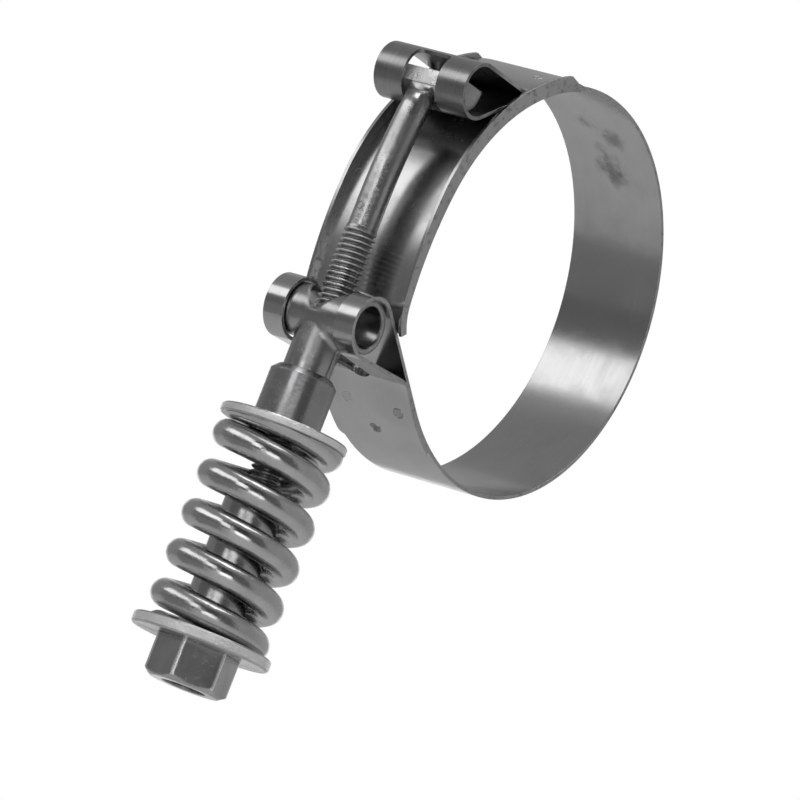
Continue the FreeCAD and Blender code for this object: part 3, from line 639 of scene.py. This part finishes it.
def make_spring_tree():
    """A wire swept along a helix with closed turns at both ends, cut flat by a cylinder."""
    tree, given, out = new_tree("coil spring", [
        ("Mean Radius", SPRING_MEAN), ("Wire Radius", WIRE_RADIUS), ("Low", SPRING_LOW),
        ("Top", SPRING_TOP),
        ("Closed Pitch", 4.95 * MM), ("Low Tip Over", 0.7 * MM), ("Top Tip Over", 1.6 * MM),
        ("Open Turns", 4.25), ("Closed Turns Low", 0.7), ("Closed Turns Top", 0.95),
        ("Tip Angle", math.radians(139.8)), ("Points", 430), ("Sides", 28)])

    def calc(operation, *terms):
        return math_node(tree, operation, *terms)

    length = calc("SUBTRACT", given["Top"], given["Low"])
    closed = calc("ADD", given["Closed Turns Low"], given["Closed Turns Top"])
    total = calc("ADD", closed, given["Open Turns"])
    rise = calc("ADD", length, calc("ADD", given["Low Tip Over"], given["Top Tip Over"]))
    open_pitch = calc("DIVIDE", calc("SUBTRACT", rise, calc("MULTIPLY", closed, given["Closed Pitch"])),
                      given["Open Turns"])
    path = tree.nodes.new("GeometryNodeCurvePrimitiveLine")
    points = tree.nodes.new("GeometryNodeResampleCurve")
    tree.links.new(path.outputs[0], points.inputs["Curve"])
    tree.links.new(given["Points"], points.inputs["Count"])
    share = tree.nodes.new("GeometryNodeSplineParameter").outputs["Factor"]
    turn = calc("MULTIPLY", share, total)
    opened = calc("MINIMUM", calc("MAXIMUM", calc("SUBTRACT", turn, given["Closed Turns Low"]), 0.0),
                  given["Open Turns"])
    height = calc("MULTIPLY", calc("SUBTRACT", turn, opened), given["Closed Pitch"])
    height = calc("ADD", height, calc("MULTIPLY", opened, open_pitch))
    height = calc("ADD", calc("SUBTRACT", height, given["Low Tip Over"]), given["Low"])
    angle = calc("MULTIPLY_ADD", calc("SUBTRACT", total, turn), 2 * math.pi, given["Tip Angle"])
    join = tree.nodes.new("ShaderNodeCombineXYZ")
    along = calc("MULTIPLY_ADD", calc("COSINE", angle), given["Mean Radius"], BOLT_X)
    tree.links.new(along, join.inputs[0])
    tree.links.new(calc("MULTIPLY", calc("SINE", angle), given["Mean Radius"]), join.inputs[1])
    tree.links.new(height, join.inputs[2])
    wound = tree.nodes.new("GeometryNodeSetPosition")
    tree.links.new(points.outputs[0], wound.inputs["Geometry"])
    tree.links.new(join.outputs[0], wound.inputs["Position"])
    section = tree.nodes.new("GeometryNodeCurvePrimitiveCircle")
    tree.links.new(given["Sides"], section.inputs["Resolution"])
    tree.links.new(given["Wire Radius"], section.inputs["Radius"])
    wire = tree.nodes.new("GeometryNodeCurveToMesh")
    wire.inputs["Fill Caps"].default_value = True
    tree.links.new(wound.outputs[0], wire.inputs["Curve"])
    tree.links.new(section.outputs["Curve"], wire.inputs["Profile Curve"])
    stone = tree.nodes.new("GeometryNodeMeshCylinder")
    stone.inputs["Vertices"].default_value = 48
    tree.links.new(calc("MULTIPLY", given["Mean Radius"], 2.0), stone.inputs["Radius"])
    tree.links.new(length, stone.inputs["Depth"])
    between = tree.nodes.new("GeometryNodeTransform")
    tree.links.new(stone.outputs["Mesh"], between.inputs["Geometry"])
    middle = tree.nodes.new("ShaderNodeCombineXYZ")
    middle.inputs[0].default_value = BOLT_X
    tree.links.new(calc("MULTIPLY_ADD", length, 0.5, given["Low"]), middle.inputs[2])
    tree.links.new(middle.outputs[0], between.inputs["Translation"])
    ground = tree.nodes.new("GeometryNodeMeshBoolean")
    ground.operation = "INTERSECT"
    for piece in (wire.outputs[0], between.outputs[0]):
        tree.links.new(piece, ground.inputs["Mesh 2"])
    real = tree.nodes.new("GeometryNodeRealizeInstances")
    tree.links.new(ground.outputs["Mesh"], real.inputs[0])
    finish = tree.nodes.new("GeometryNodeSetMaterial")
    finish.inputs["Material"].default_value = WIRE_STEEL
    tree.links.new(real.outputs[0], finish.inputs[0])
    tree.links.new(finish.outputs[0], out[0])
    return tree


coil = grown("coil_spring", make_spring_tree())
for face in coil.data.polygons:
    face.use_smooth = True
coil.data.set_sharp_from_angle(angle=math.radians(35))
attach(coil, "follower")
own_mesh(coil)
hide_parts("spring")


# Stage, light and camera

def area_lamp(name, place, aim, size, power):
    """A soft square lamp at a place, turned to a point."""
    data = bpy.data.lights.new(name, "AREA")
    data.energy = power
    data.size = size
    lamp = bpy.data.objects.new(name, data)
    lamp.location = place
    lamp.rotation_mode = "QUATERNION"
    lamp.rotation_quaternion = (Vector(aim) - Vector(place)).to_track_quat("-Z", "Y")
    bpy.context.scene.collection.objects.link(lamp)


FLOOR_REACH = 2.15
FLOOR_LEVEL = -0.32


def make_floor():
    """A plain pale floor well below the clamp, which hangs by its band."""
    mesh = bpy.data.meshes.new("floor")
    sides = 72
    turns = [2 * math.pi * i / sides for i in range(sides)]
    rim = [(FLOOR_REACH * math.cos(a), FLOOR_REACH * math.sin(a), FLOOR_LEVEL) for a in turns]
    mesh.from_pydata(rim, [], [tuple(range(sides))])
    material = bpy.data.materials.new("pale floor")
    material.use_nodes = True
    shader = material.node_tree.nodes["Principled BSDF"]
    shader.inputs["Base Color"].default_value = (0.86, 0.86, 0.86, 1)
    shader.inputs["Roughness"].default_value = 0.9
    mesh.materials.append(material)
    floor = bpy.data.objects.new("floor", mesh)
    bpy.context.scene.collection.objects.link(floor)


CARDS = (
    # name, azimuths, elevations, level, distance in metres
    ("dark wall", (112, 228), (-30, 45), 0.045, 2.4),
    ("grey wall", (228, 262), (-30, 45), 0.13, 2.4),
    ("low left wall", (112, 175), (-38, -12), 0.24, 0.4),
    ("left wall", (112, 175), (-12, 9.5), 0.16, 0.4),
    ("low left card", (114, 132), (-9, 0), 0.28, 0.38),
    ("left softbox", (112, 172), (10.5, 33.5), 1.8, 0.5),
    ("over the softbox", (112, 175), (33.5, 45), 0.36, 0.5),
    ("upper lamp by the camera", (170, 193), (2, 25), 2.0, 1.2),
    ("lower lamp by the camera", (197, 224), (-14, 3), 2.2, 1.2),
    ("right wall", (262, 330), (-30, 45), 0.38, 2.4),
    ("far right wall", (330, 372), (-30, 45), 0.42, 2.4),
    ("far left wall", (58, 112), (-30, 45), 0.3, 2.4),
    ("over the backdrop", (12, 58), (15, 45), 0.4, 2.4),
    ("under the backdrop", (12, 58), (-30, -12), 0.5, 2.4),
    ("ceiling edge", (0, 360), (45, 70), 0.3, 2.4),
)


def make_card(name, azimuths, elevations, level, distance):
    """A curved grey card of the studio, between two azimuths and two elevations in degrees."""
    start, end = azimuths
    steps = math.ceil((end - start) / 5)
    points = []
    for i in range(steps + 1):
        azimuth = math.radians(start + (end - start) * i / steps)
        for elevation in elevations:
            height = distance * math.tan(math.radians(elevation))
            points.append((distance * math.cos(azimuth), distance * math.sin(azimuth), height))
    faces = [(2 * i, 2 * i + 1, 2 * i + 3, 2 * i + 2) for i in range(steps)]
    mesh = bpy.data.meshes.new(name)
    mesh.from_pydata(points, [], faces)
    material = bpy.data.materials.new(name)
    material.use_nodes = True
    shader = material.node_tree.nodes["Principled BSDF"]
    shader.inputs["Base Color"].default_value = (0, 0, 0, 1)
    shader.inputs["Specular IOR Level"].default_value = 0
    shader.inputs["Emission Color"].default_value = (level, level, level, 1)
    shader.inputs["Emission Strength"].default_value = 1.0
    mesh.materials.append(material)
    card = bpy.data.objects.new(name, mesh)
    bpy.context.scene.collection.objects.link(card)
    card.visible_camera = False


def make_studio():
    """A white room, with grey cards round the camera's side for the metal to reflect."""
    world = bpy.data.worlds.new("studio")
    bpy.context.scene.world = world
    world.use_nodes = True
    background = world.node_tree.nodes["Background"]
    background.inputs["Color"].default_value = (1, 1, 1, 1)
    background.inputs["Strength"].default_value = 1.0
    for card in CARDS:
        make_card(*card)


make_floor()
make_studio()
area_lamp("top softbox", (0, 0, 1.2), (0, 0, 0), 0.8, 5.0)

# The camera, as it was solved from the photograph: its focal length and image centre in pixels

IMAGE_WIDTH = 800
FOCAL_LENGTH = 7543.8
CENTRE_ACROSS = -94.1
CENTRE_DOWN = 118.4
CAMERA_DISTANCE = 1.3
SENSOR_WIDTH = 36

camera_data = bpy.data.cameras.new("camera")
camera = bpy.data.objects.new("camera", camera_data)
bpy.context.scene.collection.objects.link(camera)
bpy.context.scene.camera = camera

# Its axes in the model's frame; the aim is turned off them, which puts the image centre in the middle
forward = Vector((0.8090, 0.5686, 0.1492))
right = Vector((0.4923, -0.7940, 0.3566))
down = Vector((0.3212, -0.2151, -0.9222))
aim = forward + right * (CENTRE_ACROSS / FOCAL_LENGTH) + down * (CENTRE_DOWN / FOCAL_LENGTH)
aim.normalize()
across = (right - aim * right.dot(aim)).normalized()
up = across.cross(aim)
place = -CAMERA_DISTANCE * forward
camera.matrix_world = Matrix((
    (across.x, up.x, -aim.x, place.x), (across.y, up.y, -aim.y, place.y),
    (across.z, up.z, -aim.z, place.z), (0, 0, 0, 1)))
camera_data.sensor_width = SENSOR_WIDTH
camera_data.lens = SENSOR_WIDTH * FOCAL_LENGTH / IMAGE_WIDTH
camera_data.clip_start = 0.1
camera_data.clip_end = 20

bpy.context.scene.view_settings.view_transform = "Standard"
